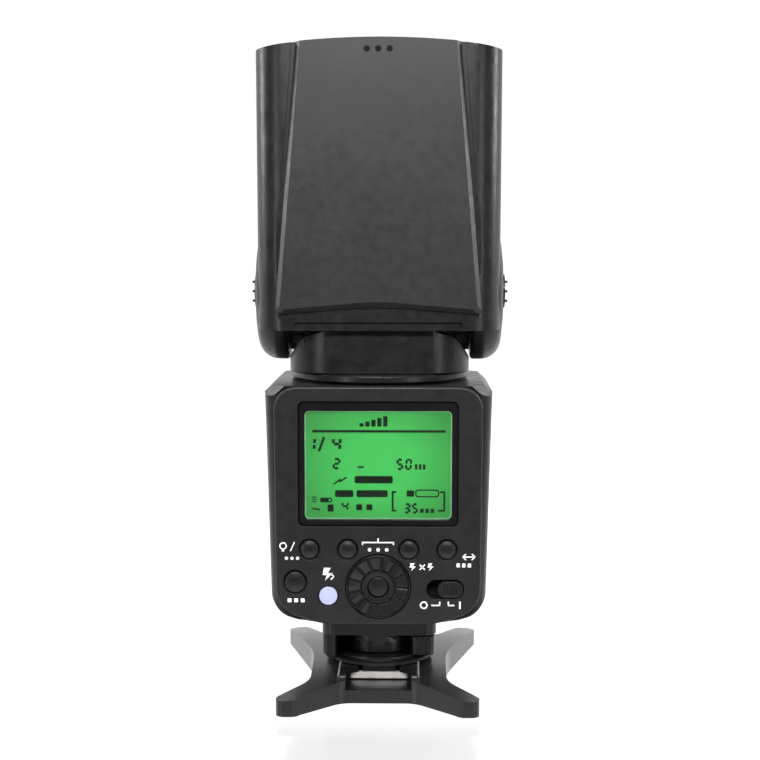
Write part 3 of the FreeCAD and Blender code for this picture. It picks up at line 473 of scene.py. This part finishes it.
def make_labels():
    """Raised ink icons on the control panel: lamp, dots, bolts, arrows and the O and I of the switch."""
    front, back = -30.45, -30.38
    ink = bmesh.new()
    shapes = [
        rounded(-29.3, -28.5, 47.9, 48.6, 0.2),
        stroke(-26.7, 48.0, -25.4, 50.8, 0.32),
        stroke(-4.9, 50.75, 4.8, 50.75, 0.4),
        stroke(-4.75, 50.75, -4.75, 50.0, 0.4),
        stroke(4.65, 50.75, 4.65, 50.0, 0.4),
        stroke(0.0, 50.9, 0.0, 52.0, 0.4),
        bolt(-16.9, 38.9, 4.0),
        stroke(-14.4, 39.3, -13.5, 40.2, 0.4),
        stroke(-14.4, 41.1, -13.5, 40.2, 0.4),
        bolt(9.6, 42.0, 2.4),
        stroke(12.6, 42.4, 14.2, 44.0, 0.38),
        stroke(12.6, 44.0, 14.2, 42.4, 0.38),
        bolt(15.0, 42.0, 2.4),
        stroke(25.6, 46.4, 29.5, 46.4, 0.35),
        stroke(25.6, 46.4, 26.7, 47.3, 0.35),
        stroke(25.6, 46.4, 26.7, 45.5, 0.35),
        stroke(29.5, 46.4, 28.4, 47.3, 0.35),
        stroke(29.5, 46.4, 28.4, 45.5, 0.35),
        stroke(16.2, 31.4, 18.9, 31.4, 0.4),
        stroke(18.75, 31.3, 18.75, 32.6, 0.4),
        stroke(21.2, 31.4, 23.2, 31.4, 0.4),
        stroke(21.35, 31.3, 21.35, 32.6, 0.4),
        stroke(24.9, 30.3, 24.9, 32.6, 0.5),
    ]
    for x in (-27.9, -26.2, -24.5):
        shapes.append(circle(x, 45.8, 0.5, 20))
    for x in (-27.0, -25.0, -23.0):
        shapes.append(rounded(x - 0.6, x + 0.6, 32.2, 33.4, 0.25))
    for x in (-2.6, 0.0, 2.6):
        shapes.append(circle(x, 48.5, 0.55, 20))
    for x in (24.3, 26.0, 27.7):
        shapes.append(rounded(x - 0.5, x + 0.5, 43.2, 44.4, 0.2))
    for points in shapes:
        add_plate(ink, points, front, back)
    add_band(ink, circle(-28.9, 49.6, 1.15), circle(-28.9, 49.6, 0.78), front, back)
    add_band(ink, circle(13.9, 31.45, 1.2), circle(13.9, 31.45, 0.75), front, back)
    make_piece("panel_labels", ink, LABEL_INK, "case")


# ---- head cover ----
HEAD_TOP_Z = 202.1
HEAD_CROWN_R = 250
COVER_FRONT = -28.0
COVER_ARCH_Z = 123.4
COVER_ARCH_SLOPE = 0.0828


def cover_outline(grow):
    """Outline of the head cover: bowed top, sides that spread downwards, slightly arched bottom edge."""
    low_x, low_z = 30.2 + grow, 120.9 - grow
    lean = 6.8 / (82.2 + grow)
    top = []
    crown_x = low_x - lean * (200.8 - low_z)
    for i in range(13):
        x = crown_x * (1 - i / 6)
        top.append((x, HEAD_TOP_Z - HEAD_CROWN_R + math.sqrt(HEAD_CROWN_R ** 2 - x ** 2)))
    arch = []
    for x in (-20, -10, -5, -2.5, 0, 2.5, 5, 10, 20):
        drop = abs(x) if abs(x) >= 5 else x * x / 10 + 2.5
        arch.append((x, COVER_ARCH_Z - grow - COVER_ARCH_SLOPE * drop))
    corner = [(low_x - 1.5, low_z + 0.12), (low_x - 0.6, low_z + 0.35), (low_x - 0.12, low_z + 1.4)]
    return top + [(-x, z) for x, z in reversed(corner)] + arch + corner


def make_cover():
    """Raised cover on the back of the head: flat plate with a bevelled border."""
    build = bmesh.new()
    loops = []
    for grow, level in ((-0.4, COVER_FRONT), (1.1, -26.22), (1.1, -26.04)):
        loops.append([build.verts.new((x * MM, level * MM, z * MM)) for x, z in cover_outline(grow)])
    count = len(loops[0])
    for a, b in zip(loops, loops[1:]):
        for i in range(count):
            j = (i + 1) % count
            build.faces.new((a[i], a[j], b[j], b[i]))
    build.faces.new(loops[0])
    build.faces.new(list(reversed(loops[-1])))
    piece = make_piece("head_cover_plate", build, MATERIALS["black_cover"], "head",
                       ("head_cover",))
    bevel = piece.modifiers.new("bevel", "BEVEL")
    bevel.width = 0.35 * MM
    bevel.segments = 3
    bevel.limit_method = "ANGLE"
    bevel.angle_limit = math.radians(28)


def make_hole_shade_dots():
    """Painted shade: three small near-black discs at the top of the cover stand in for the shade inside three
    dimples.
    """
    dots = bmesh.new()
    for x in (-3.4, 0.0, 3.4):
        add_plate(dots, circle(x, HEAD_TOP_Z - 3.5, 0.95, 24), COVER_FRONT - 0.05, COVER_FRONT + 0.05)
    make_piece("cover_hole_shade_dots", dots, HOLE_SHADE, "head")


def make_switch_slot_shade():
    """Painted shade: near-black plate behind the power switch slot, standing in for the shade inside the
    slot.
    """
    low, high = (Vector(c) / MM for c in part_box("power_switch"))
    slot_shade_plate = bmesh.new()
    add_plate(slot_shade_plate, rounded(low.x - 5.5, high.x + 5.5, low.z - 1.5, high.z + 1.5, 1.0), -25.6, -25.4)
    make_piece("switch_slot_shade", slot_shade_plate, HOLE_SHADE, "case")


# ---- camera, floor and light ----
CAMERA_DISTANCE = 0.4746
CAMERA_HEIGHT = 0.1415
CAMERA_AZIMUTH = math.radians(1.07)
CAMERA_PITCH = math.radians(5.3)


def make_camera():
    data = bpy.data.cameras.new("camera")
    data.sensor_width = 36.0
    data.lens = 36.0 * 1485 / 760
    camera = bpy.data.objects.new("camera", data)
    bpy.context.scene.collection.objects.link(camera)
    camera.location = (CAMERA_DISTANCE * math.sin(CAMERA_AZIMUTH),
                       -CAMERA_DISTANCE * math.cos(CAMERA_AZIMUTH), CAMERA_HEIGHT)
    camera.rotation_euler = (math.pi / 2 - CAMERA_PITCH, 0, CAMERA_AZIMUTH)
    bpy.context.scene.camera = camera


def area_light(name, location, aim, size, power):
    data = bpy.data.lights.new(name, "AREA")
    data.shape = "RECTANGLE"
    data.size, data.size_y = size
    data.energy = power
    light = bpy.data.objects.new(name, data)
    bpy.context.scene.collection.objects.link(light)
    light.location = location
    light.rotation_euler = (Vector(aim) - Vector(location)).to_track_quat("-Z", "Y").to_euler()


def floor_paper():
    """White paper with painted shade: its glow is painted greyer from just in front of the stand to the front
    edge.
    """
    material, tree, shader = new_material("floor_white")
    coords = tree.nodes.new("ShaderNodeTexCoord")
    split = tree.nodes.new("ShaderNodeSeparateXYZ")
    tree.links.new(coords.outputs["Object"], split.inputs["Vector"])
    # Painted shade: the floor's glow drops to 0.82 grey in front of the stand, towards the front edge.
    painted_front_shade = ramp(tree, split.outputs["Y"], 0.0, 1.0, -0.062, -0.042)
    grain = ramp(tree, noise(tree, 30.0), 0.98, 1.0)
    shade = mix_colors(tree, painted_front_shade, (0.82, 0.82, 0.83), (1.0, 1.0, 1.0))
    speckle = tree.nodes.new("ShaderNodeMix")
    speckle.data_type = "RGBA"
    speckle.blend_type = "MULTIPLY"
    speckle.inputs["Factor"].default_value = 1.0
    tree.links.new(shade, speckle.inputs["A"])
    tree.links.new(grain, speckle.inputs["B"])
    tree.links.new(speckle.outputs["Result"], shader.inputs["Emission Color"])
    shader.inputs["Base Color"].default_value = (0.02, 0.02, 0.02, 1)
    shader.inputs["Roughness"].default_value = 0.12
    shader.inputs["Emission Strength"].default_value = 1.02
    return material


def make_studio():
    build = bmesh.new()
    span, back, rise, radius, steps = 2.0, 1.2, 1.6, 0.6, 14
    profile = [(-0.16, 0.0), (0.4, 0.0)]
    for i in range(1, steps + 1):
        turn = math.pi / 2 * i / steps
        profile.append((back - radius + radius * math.sin(turn), radius - radius * math.cos(turn)))
    profile.append((back, rise))
    rows = [[build.verts.new((x, y, z)) for x in (-span, span)] for y, z in profile]
    for a, b in zip(rows, rows[1:]):
        build.faces.new((a[0], a[1], b[1], b[0])).smooth = True
    mesh = bpy.data.meshes.new("floor")
    build.to_mesh(mesh)
    build.free()
    floor = bpy.data.objects.new("floor", mesh)
    bpy.context.scene.collection.objects.link(floor)
    floor.data.materials.append(floor_paper())
    world = bpy.data.worlds.new("studio")
    bpy.context.scene.world = world
    world.use_nodes = True
    background = world.node_tree.nodes["Background"]
    background.inputs["Color"].default_value = (1, 1, 1, 1)
    background.inputs["Strength"].default_value = 0.04
    area_light("key_top", (0.0, -0.45, 0.95), (0, 0, 0.12), (0.7, 0.4), 3.0)
    area_light("front_high", (0.0, -0.50, 0.40), (0, 0, 0.20), (0.5, 0.12), 4.2)
    for side in (-1, 1):
        area_light("side_strip", (0.5 * side, 0.10, 0.36), (0, 0, 0.17), (0.10, 0.4), 2.0)
        area_light("front_strip", (0.45 * side, -0.48, 0.14), (0, 0, 0.12), (0.05, 0.3), 0.6)
    bpy.context.scene.view_settings.view_transform = "Standard"


dress_cad_nodes()
for key in ("key_light", "key_minus", "key_plus", "key_zoom"):
    round_cap(key, key, MATERIALS["black_key"])
round_cap("mode_button", "mode", MATERIALS["black_key"])
round_cap("pilot_button", "pilot", MATERIALS["lamp_cap"], 0.25)
round_cap("set_button", "set", MATERIALS["black_key"], 0.25)
make_dial()
make_display()
make_labels()
make_cover()
make_hole_shade_dots()
make_switch_slot_shade()
make_camera()
make_studio()
